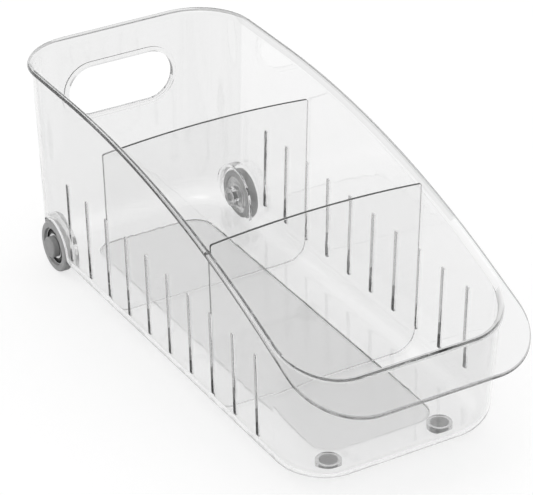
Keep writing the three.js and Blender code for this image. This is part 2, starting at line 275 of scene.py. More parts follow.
def arc(centre_a, centre_b, radius, start, end, steps):
    points = []
    for i in range(steps + 1):
        angle = math.radians(start + (end - start) * i / steps)
        points.append((centre_a + radius * math.cos(angle), centre_b + radius * math.sin(angle)))
    return points


def stadium(width, height, centre_a, centre_b):
    """An outline with straight sides and round ends, lying along its longer side."""
    radius = min(width, height) / 2
    da = width / 2 - radius
    db = height / 2 - radius
    if db > da:
        return (arc(centre_a, centre_b + db, radius, 0, 180, ARC_STEPS)
                + arc(centre_a, centre_b - db, radius, 180, 360, ARC_STEPS))
    return (arc(centre_a + da, centre_b, radius, -90, 90, ARC_STEPS)
            + arc(centre_a - da, centre_b, radius, 90, 270, ARC_STEPS))


def rounded_rectangle(width, length, corner, centre_b):
    a = width / 2 - corner
    b = length / 2 - corner
    middles = [(a, centre_b + b), (-a, centre_b + b), (-a, centre_b - b), (a, centre_b - b)]
    points = []
    for quarter_turn, (middle_a, middle_b) in enumerate(middles):
        points += arc(middle_a, middle_b, corner, 90 * quarter_turn, 90 * (quarter_turn + 1), ARC_STEPS)
    return points


def prism(name, outline, axis, start, end, end_outline=None):
    """An outline square to an axis, drawn out along it between two places, or on to a second outline."""
    place = {"X": lambda a, b, t: (t, a, b), "Y": lambda a, b, t: (a, t, b), "Z": lambda a, b, t: (a, b, t)}[axis]
    count = len(outline)
    points = [place(a, b, start) for a, b in outline]
    points += [place(a, b, end) for a, b in end_outline or outline]
    faces = [tuple(range(count)), tuple(range(count, 2 * count))]
    faces += [(i, (i + 1) % count, count + (i + 1) % count, count + i) for i in range(count)]
    return new_piece(name, points, faces)


def turned(name, profile, place):
    """A closed profile of radius and distance along an axis, turned right round it. place gives the point."""
    points = []
    faces = []
    count = len(profile)
    for step in range(TURNED_STEPS):
        angle = 2 * math.pi * step / TURNED_STEPS
        points += [place(radius * math.cos(angle), radius * math.sin(angle), out) for radius, out in profile]
    for step in range(TURNED_STEPS):
        here = step * count
        there = ((step + 1) % TURNED_STEPS) * count
        for i in range(count):
            j = (i + 1) % count
            on_axis = [k for k in (i, j) if profile[k][0] == 0]
            if len(on_axis) == 2:
                continue
            if profile[i][0] == 0:
                faces.append((here + i, there + j, here + j))
            elif profile[j][0] == 0:
                faces.append((here + i, there + i, here + j))
            else:
                faces.append((here + i, there + i, there + j, here + j))
    return new_piece(name, points, faces)


def quarter(centre_radius, centre_out, radius, start):
    """Points of a round edge in a turned piece's profile."""
    return arc(centre_radius, centre_out, radius, start, start + 90, EDGE_STEPS)


def on_wheel_axis(side):
    return lambda a, b, out: (side * out, AXLE_Y + a, AXLE_Z + b)


# Bin shell: rings from its underside out over the rim and down to its floor

def plan_points(half, rear, front, rear_corner, front_corner):
    corners = [
        (half - front_corner, front + front_corner, front_corner, -90),
        (half - rear_corner, rear - rear_corner, rear_corner, 0),
        (rear_corner - half, rear - rear_corner, rear_corner, 90),
        (front_corner - half, front + front_corner, front_corner, 180),
    ]
    arcs = [arc(x, y, radius, start, start + 90, CORNER_STEPS) for x, y, radius, start in corners]
    points = []
    for corner, curve in enumerate(arcs):
        points += curve
        following = arcs[(corner + 1) % 4][0]
        steps = SIDE_STEPS if corner % 2 == 0 else END_STEPS
        for i in range(1, steps):
            share = i / steps
            points.append((curve[-1][0] + (following[0] - curve[-1][0]) * share,
                           curve[-1][1] + (following[1] - curve[-1][1]) * share))
    return points


def wall_points(z, amount):
    return plan_points(wall_half(z) + amount, wall_rear(z) + amount, wall_front(z) - amount,
                       WALL_REAR_CORNER + amount, WALL_FRONT_CORNER + amount)


def level_ring(z, amount):
    return [(x, y, z) for x, y in wall_points(z, amount)]


def wall_rim_ring(amount, depth):
    """A ring that follows the rim, lowered by a depth, on the drafted wall grown by an amount."""
    ring = []
    for i, (x, y) in enumerate(wall_points(RIM_HEIGHT, amount)):
        for _ in range(SETTLING_PASSES):
            z = rim_height_at(y) - depth
            x, y = wall_points(z, amount)[i]
        ring.append((x, y, z))
    return ring


def edge_ring(amount, depth):
    points = plan_points(RIM_WIDTH / 2 + amount, REAR_END + amount, FRONT_END - amount,
                         RIM_REAR_CORNER + amount, RIM_FRONT_CORNER + amount)
    return [(x, y, rim_height_at(y) - depth) for x, y in points]


def bottom_rings(inset, bottom, radius):
    rings = []
    for i in range(ROUNDING_STEPS + 1):
        angle = math.pi / 2 * i / ROUNDING_STEPS
        height = bottom + radius * (1 - math.cos(angle))
        rings.append(level_ring(height, radius * (math.sin(angle) - 1) - inset))
    return rings


def skin(name, rings):
    """A closed surface through rings of equal count, capped flat at both ends."""
    count = len(rings[0])
    points = [point for ring in rings for point in ring]
    faces = [tuple(range(count)), tuple(range((len(rings) - 1) * count, len(rings) * count))]
    for r in range(len(rings) - 1):
        for i in range(count):
            j = (i + 1) % count
            faces.append((r * count + i, r * count + j, (r + 1) * count + j, (r + 1) * count + i))
    return new_piece(name, points, faces)


def bin_shell():
    turn = []
    under = []
    for i in range(TURN_STEPS + 1):
        angle = math.pi / 2 * i / TURN_STEPS
        turn.append(wall_rim_ring(TURN_WIDTH * (1 - math.sin(angle)) - WALL,
                                  TURN_DEPTH * (1 - math.cos(angle))))
        under.append(wall_rim_ring(UNDER_TURN * (1 - math.cos(angle)),
                                   FLANGE_THICKNESS + UNDER_TURN * (1 - math.sin(angle))))
    edge = []
    for i in range(2 * EDGE_STEPS + 1):
        angle = math.pi / 2 * (i / EDGE_STEPS - 1)
        middle = FLANGE_THICKNESS - FLANGE_EDGE_ROUNDING if i <= EDGE_STEPS else FLANGE_EDGE_ROUNDING
        depth = middle - FLANGE_EDGE_ROUNDING * math.sin(angle)
        edge.append(edge_ring(FLANGE_EDGE_ROUNDING * (math.cos(angle) - 1), depth))
        if i == EDGE_STEPS:
            edge.append(edge_ring(0, FLANGE_EDGE_ROUNDING))
    inner = bottom_rings(WALL, FLOOR_HEIGHT, BOTTOM_ROUNDING - WALL)
    outer = bottom_rings(0, UNDERSIDE_HEIGHT, BOTTOM_ROUNDING)
    return skin("bin", outer + under + edge + turn + inner[::-1])


def wall_core():
    """A block that ends inside the walls and floor, to trim what is joined to them."""
    rings = bottom_rings(WALL / 2, UNDERSIDE_HEIGHT + FLOOR_THICKNESS / 2, BOTTOM_ROUNDING - WALL / 2)
    return skin("wall_core", rings + [level_ring(SLOT_TOP_HEIGHT, -WALL / 2)])


def wheel_space(name, radius, near, far, side):
    """A space round the wheel: an arch over it, and straight down to below the bin."""
    outline = arc(AXLE_Y, AXLE_Z, radius, 0, 180, 2 * ARC_STEPS)
    outline += [(AXLE_Y - radius, -OVERRUN), (AXLE_Y + radius, -OVERRUN)]
    return prism(name, outline, "X", side * near, side * far)


def across_cylinder(name, radius, near, far, side):
    circle = arc(AXLE_Y, AXLE_Z, radius, 0, 360, 2 * ARC_STEPS)[:-1]
    return prism(name, circle, "X", side * near, side * far)


def foot_ring(side):
    inside = FOOT_RADIUS + TYRE_GAP
    outside = inside + FOOT_RING_WALL
    bottom = UNDERSIDE_HEIGHT - FOOT_RING_HEIGHT
    top = UNDERSIDE_HEIGHT + FLOOR_THICKNESS / 2
    profile = [(inside, bottom), (outside, bottom), (outside, top), (inside, top)]
    return turned("foot_ring", profile, lambda a, b, z: (side * FOOT_X + a, FOOT_Y + b, z))


# Node helper

def worked(tree, operation, first, second):
    """The outcome of a sum on one value and either another value or a number."""
    node = tree.nodes.new("ShaderNodeMath")
    node.operation = operation
    tree.links.new(first, node.inputs[0])
    if isinstance(second, (int, float)):
        node.inputs[1].default_value = second
    else:
        tree.links.new(second, node.inputs[1])
    return node.outputs[0]


# Slot row: the same slot cut through both side walls, again and again along the bin

def new_socket(tree, name, kind, in_out="INPUT"):
    return tree.interface.new_socket(name=name, in_out=in_out, socket_type=kind)


def slot_row_tree():
    tree = bpy.data.node_groups.new("slot_row", "GeometryNodeTree")
    new_socket(tree, "Geometry", "NodeSocketGeometry", "OUTPUT")
    new_socket(tree, "Bin", "NodeSocketGeometry")
    for name in ("Slot width", "Slot length", "Cut across", "Slot pitch", "First slot", "Slot middle height"):
        new_socket(tree, name, "NodeSocketFloat")
    new_socket(tree, "Slot count", "NodeSocketInt")
    new_socket(tree, "Round end steps", "NodeSocketInt")
    new_socket(tree, "Plastic", "NodeSocketMaterial")
    nodes = tree.nodes
    links = tree.links
    sizes = nodes.new("NodeGroupInput").outputs
    outcome = nodes.new("NodeGroupOutput").inputs

    # The outline of one slot, with round ends
    outline = nodes.new("GeometryNodeCurvePrimitiveQuadrilateral")
    links.new(sizes["Slot width"], outline.inputs["Width"])
    links.new(sizes["Slot length"], outline.inputs["Height"])
    half_width = worked(tree, "MULTIPLY", sizes["Slot width"], SLOT_END_SHARE)
    round_ends = nodes.new("GeometryNodeFilletCurve")
    round_ends.mode = "POLY"
    links.new(outline.outputs["Curve"], round_ends.inputs["Curve"])
    links.new(sizes["Round end steps"], round_ends.inputs["Count"])
    links.new(half_width, round_ends.inputs["Radius"])

    # The outline drawn out into a closed cutter, turned to lie across the bin
    face = nodes.new("GeometryNodeFillCurve")
    face.mode = "NGONS"
    links.new(round_ends.outputs["Curve"], face.inputs["Curve"])
    drawn_out = nodes.new("GeometryNodeExtrudeMesh")
    drawn_out.inputs["Individual"].default_value = False
    links.new(face.outputs["Mesh"], drawn_out.inputs["Mesh"])
    links.new(sizes["Cut across"], drawn_out.inputs["Offset Scale"])
    back_face = nodes.new("GeometryNodeFlipFaces")
    links.new(face.outputs["Mesh"], back_face.inputs["Mesh"])
    both = nodes.new("GeometryNodeJoinGeometry")
    links.new(drawn_out.outputs["Mesh"], both.inputs["Geometry"])
    links.new(back_face.outputs["Mesh"], both.inputs["Geometry"])
    closed = nodes.new("GeometryNodeMergeByDistance")
    closed.inputs["Distance"].default_value = CUTTER_DOUBLES_WITHIN * MM
    links.new(both.outputs["Geometry"], closed.inputs["Geometry"])
    centring = nodes.new("ShaderNodeCombineXYZ")
    links.new(worked(tree, "MULTIPLY", sizes["Cut across"], -0.5), centring.inputs["X"])
    across = nodes.new("GeometryNodeTransform")
    across.inputs["Rotation"].default_value = (math.pi / 2, 0, math.pi / 2)
    links.new(closed.outputs["Geometry"], across.inputs["Geometry"])
    links.new(centring.outputs["Vector"], across.inputs["Translation"])

    # One cutter at each place of the row
    first = nodes.new("ShaderNodeCombineXYZ")
    links.new(sizes["First slot"], first.inputs["Y"])
    links.new(sizes["Slot middle height"], first.inputs["Z"])
    step = nodes.new("ShaderNodeCombineXYZ")
    links.new(worked(tree, "MULTIPLY", sizes["Slot pitch"], -1.0), step.inputs["Y"])
    places = nodes.new("GeometryNodeMeshLine")
    links.new(sizes["Slot count"], places.inputs["Count"])
    links.new(first.outputs["Vector"], places.inputs["Start Location"])
    links.new(step.outputs["Vector"], places.inputs["Offset"])
    row = nodes.new("GeometryNodeInstanceOnPoints")
    links.new(places.outputs["Mesh"], row.inputs["Points"])
    links.new(across.outputs["Geometry"], row.inputs["Instance"])
    cutters = nodes.new("GeometryNodeRealizeInstances")
    links.new(row.outputs["Instances"], cutters.inputs["Geometry"])

    # The row cut out of the bin
    cut = nodes.new("GeometryNodeMeshBoolean")
    cut.operation = "DIFFERENCE"
    cut.solver = "MANIFOLD"
    links.new(sizes["Bin"], cut.inputs["Mesh 1"])
    links.new(cutters.outputs["Geometry"], cut.inputs["Mesh 2"])
    real = nodes.new("GeometryNodeRealizeInstances")
    links.new(cut.outputs["Mesh"], real.inputs["Geometry"])
    finish = nodes.new("GeometryNodeSetMaterial")
    links.new(real.outputs["Geometry"], finish.inputs["Geometry"])
    links.new(sizes["Plastic"], finish.inputs["Material"])
    links.new(finish.outputs["Geometry"], outcome["Geometry"])
    return tree


def cut_slot_row(piece, plastic):
    row = piece.modifiers.new("slot_row", "NODES")
    row.node_group = slot_row_tree()
    values = {
        "Slot width": SLOT_WIDTH * MM,
        "Slot length": SLOT_LENGTH * MM,
        "Cut across": (RIM_WIDTH + 2 * OVERRUN) * MM,
        "Slot pitch": SLOT_PITCH * MM,
        "First slot": (REAR_END - FIRST_SLOT_FROM_REAR) * MM,
        "Slot middle height": (SLOT_BOTTOM_HEIGHT + SLOT_LENGTH / 2) * MM,
        "Slot count": SLOT_COUNT,
        "Round end steps": SLOT_END_STEPS,
        "Plastic": plastic,
    }
    for item in row.node_group.interface.items_tree:
        if item.name in values:
            row[item.identifier] = values[item.name]


def make_bin(plastic):
    piece = bin_shell()
    core = wall_core()
    scrap = [core]
    for side in (-1, 1):
        housing = wheel_space("housing", WELL_RADIUS + WALL, WELL_BACK, RIM_WIDTH / 2, side)
        combine(housing, core, "INTERSECT")
        boss = across_cylinder("boss", PIN_BOSS_RADIUS, BOSS_END, WELL_FACE - WALL / 2, side)
        ring = foot_ring(side)
        for joined in (housing, boss, ring):
            combine(piece, joined, "UNION")
        well = wheel_space("well", WELL_RADIUS, WELL_FACE, RIM_WIDTH / 2 + OVERRUN, side)
        bore = across_cylinder("bore", PIN_BORE, BOSS_END - OVERRUN, WELL_FACE + OVERRUN, side)
        for cutter in (well, bore):
            combine(piece, cutter, "DIFFERENCE")
        scrap += [housing, boss, ring, well, bore]
    widening = PANEL_STEP_SLOPE * (PANEL_DEPTH + OVERRUN)
    lower = rounded_rectangle(PANEL_WIDTH, PANEL_LENGTH, PANEL_CORNER, PANEL_MIDDLE_Y)
    upper = rounded_rectangle(PANEL_WIDTH + 2 * widening, PANEL_LENGTH + 2 * widening,
                              PANEL_CORNER + widening, PANEL_MIDDLE_Y)
    panel = prism("panel_cut", lower, "Z", FLOOR_HEIGHT - PANEL_DEPTH, FLOOR_HEIGHT + OVERRUN, upper)
    combine(piece, panel, "DIFFERENCE")
    face = wall_rear(HAND_HOLE_Z)
    collar_outline = stadium(HAND_HOLE_WIDTH + 2 * COLLAR_WIDTH, HAND_HOLE_HEIGHT + 2 * COLLAR_WIDTH,
                             0, HAND_HOLE_Z)
    collar = prism("collar", collar_outline, "Y", face - WALL / 2, face + COLLAR_REACH)
    hole = prism("hand_hole", stadium(HAND_HOLE_WIDTH, HAND_HOLE_HEIGHT, 0, HAND_HOLE_Z),
                 "Y", face - WALL - OVERRUN, face + OVERRUN)
    combine(piece, collar, "UNION")
    combine(piece, hole, "DIFFERENCE")
    scrap += [panel, collar, hole]
    cut_slot_row(piece, plastic)
    settle(piece)
    for part in scrap:
        drop_piece(part)
    smooth(piece)
    return piece


# Dividers: round lower corners, a crowned top edge and a tab on each side that reaches into its slot

def bend(start, control, end, steps):
    """Points of a curve from start to end, drawn towards a control point, without its first point."""
    points = []
    for i in range(1, steps + 1):
        t = i / steps
        points.append(tuple((1 - t) ** 2 * s + 2 * t * (1 - t) * c + t * t * e
                            for s, c, e in zip(start, control, end)))
    return points


def divider_outline():
    tab_bottom = SLOT_BOTTOM_HEIGHT + SLOT_WIDTH / 2 + GAP
    tab_top = tab_bottom + TAB_HEIGHT
    tab_reach = SIDE_DRAFT * (SLOT_TOP_HEIGHT - SLOT_WIDTH / 2 - tab_top) - GAP
    bottom = FLOOR_HEIGHT + GAP
    lean = math.atan(SIDE_DRAFT)
    corner_z = bottom + DIVIDER_BOTTOM_CORNER
    top = DIVIDER_SIDE_HEIGHT

    def side(z):
        return wall_half(z) - WALL - GAP

    corner_x = side(corner_z) - DIVIDER_BOTTOM_CORNER / math.cos(lean)
    right = arc(corner_x, corner_z, DIVIDER_BOTTOM_CORNER, -90, -math.degrees(lean), ARC_STEPS)
    right += [(side(tab_bottom), tab_bottom), (side(tab_bottom) + GAP + tab_reach, tab_bottom),
              (side(tab_top) + GAP + tab_reach, tab_top), (side(tab_top), tab_top)]
    shoulder = (side(top - DIVIDER_TOP_CORNER), top - DIVIDER_TOP_CORNER)
    crown_end = (side(top) - DIVIDER_TOP_CORNER, top)
    right.append(shoulder)
    right += bend(shoulder, (side(top), top), crown_end, EDGE_STEPS)
    crown = bend(crown_end, (0, top + 2 * DIVIDER_CROWN), (-crown_end[0], top), 2 * ARC_STEPS)
    return right + crown + [(-x, z) for x, z in right[:-1][::-1]]


def make_divider(name, number):
    middle = REAR_END - FIRST_SLOT_FROM_REAR - (number - 1) * SLOT_PITCH
    piece = prism(name + "_plate", divider_outline(), "Y",
                  middle - DIVIDER_THICKNESS / 2, middle + DIVIDER_THICKNESS / 2)
    rounded_edges(piece, DIVIDER_EDGE_ROUNDING)
    settle(piece)
    smooth(piece)
    return piece


# Wheels, pins and feet

def make_tyre(side):
    middle = (HUB_FACE + HUB_BACK) / 2
    groove = TYRE_RIB_WIDTH / 2 + TYRE_GAP
    inside = TYRE_BORE + TYRE_GAP
    profile = [(inside, WHEEL_BACK)]
    profile += quarter(WHEEL_RADIUS - TYRE_BACK_EDGE, WHEEL_BACK + TYRE_BACK_EDGE, TYRE_BACK_EDGE, -90)
    profile += quarter(WHEEL_RADIUS - TYRE_FACE_EDGE, WHEEL_FACE - TYRE_FACE_EDGE, TYRE_FACE_EDGE, 0)
    profile += [(inside, WHEEL_FACE), (inside, middle + groove), (inside + TYRE_RIB, middle + groove),
                (inside + TYRE_RIB, middle - groove), (inside, middle - groove)]
    return turned("tread_ring", profile, on_wheel_axis(side))


def make_hub(side):
    middle = (HUB_FACE + HUB_BACK) / 2
    rib = TYRE_RIB_WIDTH / 2
    rim_inside = TYRE_BORE - HUB_RIM_WIDTH
    web = HUB_FACE - HUB_FACE_GROOVE
    ridge = (HUB_SEAT_RADIUS + rim_inside - HUB_RIDGE_WIDTH) / 2
    profile = [
        (PIN_BORE, HUB_COLLAR_FACE), (HUB_COLLAR_RADIUS, HUB_COLLAR_FACE), (HUB_COLLAR_RADIUS, HUB_BACK),
        (HUB_SEAT_RADIUS, HUB_BACK), (HUB_SEAT_RADIUS, HUB_BACK + HUB_BACK_GROOVE),
        (rim_inside, HUB_BACK + HUB_BACK_GROOVE), (rim_inside, HUB_BACK), (TYRE_BORE, HUB_BACK),
        (TYRE_BORE, middle - rib), (TYRE_BORE + TYRE_RIB, middle - rib), (TYRE_BORE + TYRE_RIB, middle + rib),
        (TYRE_BORE, middle + rib), (TYRE_BORE, HUB_FACE), (rim_inside, HUB_FACE), (rim_inside, web),
        (ridge + HUB_RIDGE_WIDTH, web), (ridge + HUB_RIDGE_WIDTH / 2, web + HUB_RIDGE_HEIGHT), (ridge, web),
        (HUB_SEAT_RADIUS, web),
        (HUB_SEAT_RADIUS, HUB_FACE), (PIN_BORE, HUB_FACE),
    ]
    piece = turned("hub_disc", profile, on_wheel_axis(side))
    rounded_edges(piece, HUB_EDGE_ROUNDING)
    settle(piece)
    return piece


def make_pin(side):
    head_back = HUB_FACE + GAP
    head_face = head_back + PIN_HEAD_THICKNESS
    profile = [(0, BOSS_END), (PIN_RADIUS - PIN_TIP_CHAMFER, BOSS_END), (PIN_RADIUS, BOSS_END + PIN_TIP_CHAMFER),
               (PIN_RADIUS, head_back), (PIN_HEAD_RADIUS, head_back)]
    profile += quarter(PIN_HEAD_RADIUS - PIN_HEAD_ROUNDING, head_face - PIN_HEAD_ROUNDING, PIN_HEAD_ROUNDING, 0)
    profile.append((0, head_face))
    return turned("headed_pin", profile, on_wheel_axis(side))


def make_foot(side):
    top = UNDERSIDE_HEIGHT - GAP
    profile = [(0, 0), (FOOT_RADIUS - FOOT_EDGE, 0), (FOOT_RADIUS, FOOT_EDGE), (FOOT_RADIUS, top), (0, top)]
    return turned("foot_disc", profile, lambda a, b, z: (side * FOOT_X + a, FOOT_Y + b, z))


# Finishes: levels of grey run from 0 to 1, grains and waves are counted per metre, and how high they stand
# is in metres. Every other length is in millimetres.
PLASTIC_IOR = 1.5
PLASTIC_TINT = (0.25, 0.26, 0.26, 1)
WAVE_GRAINS = 45.0
WAVE_DETAIL = 2.0
WAVE_HEIGHT = 0.0004
WAVE_STRENGTH = 0.25
NOISE_LOW = 0.35
NOISE_HIGH = 0.65

# Bin plastic: how dark light gets inside it, and the level of grey that each of its places takes. The walls are
# painted darker than the floor, and the slot, rim, flange, hand hole, panel border and foot ring levels are
# painted shade
BIN_DENSITY = 3.5
FLOOR_LEVEL = 1.0
# Painted shade: the walls darker than the floor, the rear wall darker still
WALL_SHADE_LEVEL = 0.93
REAR_WALL_SHADE_LEVEL = 0.86
PANEL_LEVEL = 0.86
PANEL_BORDER_SHADE_LEVEL = 0.4
# Painted shade: a dark line along the panel's step
SLOT_SHADE_LEVEL = 0.58
# Painted shade in the slots' cut faces, darkest towards their lower ends
SLOT_END_SHADE_LEVEL = 0.1
SLOT_END_SHADE_HEIGHT = 8.0
# Painted shade on the rim's upper faces
RIM_TOP_SHADE_LEVEL = 0.75
# Painted shade along the rim's outermost edge, lighter at the rear
RIM_EDGE_SHADE_LEVEL = 0.42
REAR_RIM_EDGE_SHADE_LEVEL = 0.7
# Painted shade, almost black, on the flange's outer and lower faces
FLANGE_SHADE_LEVEL = 0.02
# Painted shade on the upper part of the hand hole's cut face
HOLE_EDGE_SHADE_LEVEL = 0.12
# Painted shade on the clear rings that hold the feet
FOOT_RING_SHADE_LEVEL = 0.45
# Painted highlight: white along the panel's border and on the front turn
PAINTED_HIGHLIGHT_LEVEL = 1.0

# Bin plastic: its painted highlights, frosted white along the panel's border and the front turn, and its duller
# places
HIGHLIGHT_LINE_WIDTH = 1.0
PAINTED_HIGHLIGHT_CLEARNESS = 0.05
FRONT_TURN_HIGHLIGHT_SHARE = 0.65
FRONT_TURN_ROUGHNESS = 0.2
CLEAR_ROUGHNESS = 0.01
DULL_ROUGHNESS = 0.12

# Bin plastic: where its places begin and end, in millimetres or in shares of facing a direction
FACE_SLACK = 0.15
WALL_BAND = 3 * WALL
EDGE_ON = 0.5
FACES_UP = 0.3
RIM_FROM = FRONT_RIM_HEIGHT * 0.7
RIM_EDGE_INSET = FLANGE_EDGE_ROUNDING * 0.7
FLANGE_FACE_REAR_Y = -70.0
FLANGE_FACE_REAR_X = 73.4
FLANGE_FACE_FRONT_Y = -120.0
FLANGE_FACE_FRONT_X = 75.5
FLANGE_FACE_EXTRA = 6.0
HOLE_EDGE_SHARE = 0.7
FRONT_TURN_END_Y = -137.0
FRONT_TURN_STEEPER_THAN = 0.985
FRONT_TURN_FACES_UP = 0.1

# Divider plastic
DIVIDER_DENSITY = 8.0
DIVIDER_LEVEL = 0.95
# Painted shade on the plates' edges
DIVIDER_EDGE_SHADE_LEVEL = 0.12
DIVIDER_GRAINS = 60.0
DIVIDER_DETAIL = 2.0
DIVIDER_SMOOTHEST = 0.008
DIVIDER_ROUGHEST = 0.02

# Grey mouldings: how far their tone and gloss stray, and how fine their grains are
DARKER_TONE = (0.92, 0.925, 0.93)
LIGHTER_TONE = (1.06, 1.06, 1.055)
TONE_GRAINS = 260.0
TONE_DETAIL = 4.0
GLOSS_STRAY = 0.15
GLOSS_GRAINS = 480.0
GLOSS_DETAIL = 3.0
GRAIN_DETAIL = 2.0
GRAIN_STRENGTH = 0.5
TREAD_RUBBER = {"level": 0.54, "roughness": 0.6, "grains": 1400.0, "grain_height": 0.00015}
HUB_PLASTIC = {"level": 0.62, "roughness": 0.12, "grains": 900.0, "grain_height": 0.00004, "metal": 0.85}
PIN_PLASTIC = {"level": 0.38, "roughness": 0.35, "grains": 900.0, "grain_height": 0.00006}
FOOT_RUBBER = {"level": 0.42, "roughness": 0.55, "grains": 1400.0, "grain_height": 0.00012}
# Painted shade in the hub's groove round the pin's head
HUB_GROOVE_SHADE_LEVEL = 0.06


def new_material(name):
    material = bpy.data.materials.new(name)
    material.use_nodes = True
    tree = material.node_tree
    tree.nodes.clear()
    output = tree.nodes.new("ShaderNodeOutputMaterial")
    return material, tree, output


def noise_at(tree, scale, detail):
    """Even noise in the material's own space, in grains per metre."""
    coordinates = tree.nodes.new("ShaderNodeTexCoord")
    noise = tree.nodes.new("ShaderNodeTexNoise")
    noise.inputs["Scale"].default_value = scale
    noise.inputs["Detail"].default_value = detail
    tree.links.new(coordinates.outputs["Object"], noise.inputs["Vector"])
    return noise.outputs["Fac"]


def spread(tree, factor, low, high):
    """Turns a noise's middle range into values between low and high."""
    span = tree.nodes.new("ShaderNodeMapRange")
    span.inputs["From Min"].default_value = NOISE_LOW
    span.inputs["From Max"].default_value = NOISE_HIGH
    span.inputs["To Min"].default_value = low
    span.inputs["To Max"].default_value = high
    tree.links.new(factor, span.inputs["Value"])
    return span.outputs["Result"]


def bump(tree, height, distance, strength):
    raised = tree.nodes.new("ShaderNodeBump")
    raised.inputs["Distance"].default_value = distance
    raised.inputs["Strength"].default_value = strength
    tree.links.new(height, raised.inputs["Height"])
    return raised.outputs["Normal"]


# Masks: each gives one on the places that it names, and zero elsewhere

def within(tree, value, middle, half):
    """Where a value is no further from a middle than half."""
    near = tree.nodes.new("ShaderNodeMath")
    near.operation = "COMPARE"
    near.inputs[1].default_value = middle
    near.inputs[2].default_value = half
    tree.links.new(value, near.inputs[0])
    return near.outputs[0]


def places_in(tree):
    coordinates = tree.nodes.new("ShaderNodeTexCoord")
    parts = tree.nodes.new("ShaderNodeSeparateXYZ")
    tree.links.new(coordinates.outputs["Object"], parts.inputs[0])
    return parts.outputs["X"], parts.outputs["Y"], parts.outputs["Z"]


def inside_outline(tree, half_width, middle_y, half_length, corner):
    """Inside an upright outline with round corners."""
    x, y = places_in(tree)[:2]
    past = []
    for value, middle, half in ((x, 0.0, half_width), (y, middle_y, half_length)):
        from_middle = worked(tree, "ABSOLUTE", worked(tree, "SUBTRACT", value, middle * MM), 0.0)
        past.append(worked(tree, "MAXIMUM", worked(tree, "SUBTRACT", from_middle, (half - corner) * MM), 0.0))
    squares = [worked(tree, "POWER", value, 2.0) for value in past]
    return worked(tree, "LESS_THAN", worked(tree, "ADD", *squares), (corner * MM) ** 2)


def inside_panel(tree, wider):
    return inside_outline(tree, PANEL_WIDTH / 2 + wider, PANEL_MIDDLE_Y, PANEL_LENGTH / 2 + wider,
                          PANEL_CORNER + wider)


def panel_mask(tree):
    """The floor panel and the underside below it."""
    z = places_in(tree)[2]
    in_floor = within(tree, z, FLOOR_HEIGHT * MM / 2, (FLOOR_HEIGHT / 2 + FACE_SLACK) * MM)
    return worked(tree, "MULTIPLY", inside_panel(tree, 0.0), in_floor)


def panel_border_mask(tree, inner, outer):
    """A band on the upper side of the floor that follows the panel's outline."""
    z = places_in(tree)[2]
    band = worked(tree, "SUBTRACT", inside_panel(tree, outer), inside_panel(tree, inner))
    on_top = within(tree, z, (FLOOR_HEIGHT - PANEL_DEPTH / 2) * MM, (PANEL_DEPTH / 2 + FACE_SLACK) * MM)
    return worked(tree, "MULTIPLY", band, on_top)


def facing(tree, direction):
    """How far the surface faces a direction: one straight at it, and zero across it."""
    surface = tree.nodes.new("ShaderNodeNewGeometry")
    along = tree.nodes.new("ShaderNodeVectorMath")
    along.operation = "DOT_PRODUCT"
    along.inputs[1].default_value = direction
    tree.links.new(surface.outputs["Normal"], along.inputs[0])
    return along.outputs["Value"]


def facing_ends(tree):
    """How far the surface faces the bin's front or rear end: one on a plate that stands across it."""
    return worked(tree, "ABSOLUTE", facing(tree, (0, 1, 0)), 0.0)


def along_rim(tree, rear_y, rear_value, front_y, front_value):
    """A length that changes along the rim from one place to another and stays as it is beyond them."""
    change = tree.nodes.new("ShaderNodeMapRange")
    change.inputs["From Min"].default_value = front_y * MM
    change.inputs["From Max"].default_value = rear_y * MM
    change.inputs["To Min"].default_value = front_value * MM
    change.inputs["To Max"].default_value = rear_value * MM
    tree.links.new(places_in(tree)[1], change.inputs["Value"])
    return change.outputs["Result"]


def all_of(tree, first, *others):
    """Where every mask is one."""
    for other in others:
        first = worked(tree, "MULTIPLY", first, other)
    return first


def flange_mask(tree):
    """The outer and lower faces of the flange along both sides, met from outside the plastic."""
    x, y = places_in(tree)[:2]
    inner_edge = along_rim(tree, FLANGE_FACE_REAR_Y, FLANGE_FACE_REAR_X, FLANGE_FACE_FRONT_Y, FLANGE_FACE_FRONT_X)
    outside = worked(tree, "GREATER_THAN", worked(tree, "ABSOLUTE", x, 0.0), inner_edge)
    lower = worked(tree, "LESS_THAN", facing(tree, (0, 0, 1)), FACES_UP)
    surface = tree.nodes.new("ShaderNodeNewGeometry")
    from_outside = worked(tree, "LESS_THAN", surface.outputs["Backfacing"], 0.5)
    half = (RIM_LENGTH - RIM_FRONT_CORNER) / 2 + FLANGE_FACE_EXTRA
    return all_of(tree, outside, lower, from_outside, within(tree, y, 0.0, half * MM))


def rim_top_mask(tree):
    """The upper faces of the flange along the tall part of both sides."""
    x, y = places_in(tree)[:2]
    across = worked(tree, "ABSOLUTE", x, 0.0)
    outside = worked(tree, "GREATER_THAN", across, (WALL_HALF_TOP - FACE_SLACK) * MM)
    upper = worked(tree, "GREATER_THAN", facing(tree, (0, 0, 1)), FACES_UP)
    tall = within(tree, y, LEVEL_RIM / 2 * MM, (REAR_END - RIM_REAR_CORNER / 2 - LEVEL_RIM / 2) * MM)
    return all_of(tree, outside, upper, tall)


def at_rim_height(tree):
    return worked(tree, "GREATER_THAN", places_in(tree)[2], RIM_FROM * MM)


def rim_edge_mask(tree):
    """The rim's outermost edge all round, the lip's too."""
    inside = inside_outline(tree, RIM_WIDTH / 2 - RIM_EDGE_INSET, 0.0, RIM_LENGTH / 2 - RIM_EDGE_INSET,
                            RIM_FRONT_CORNER - RIM_EDGE_INSET)
    return all_of(tree, worked(tree, "LESS_THAN", inside, 0.5), at_rim_height(tree))


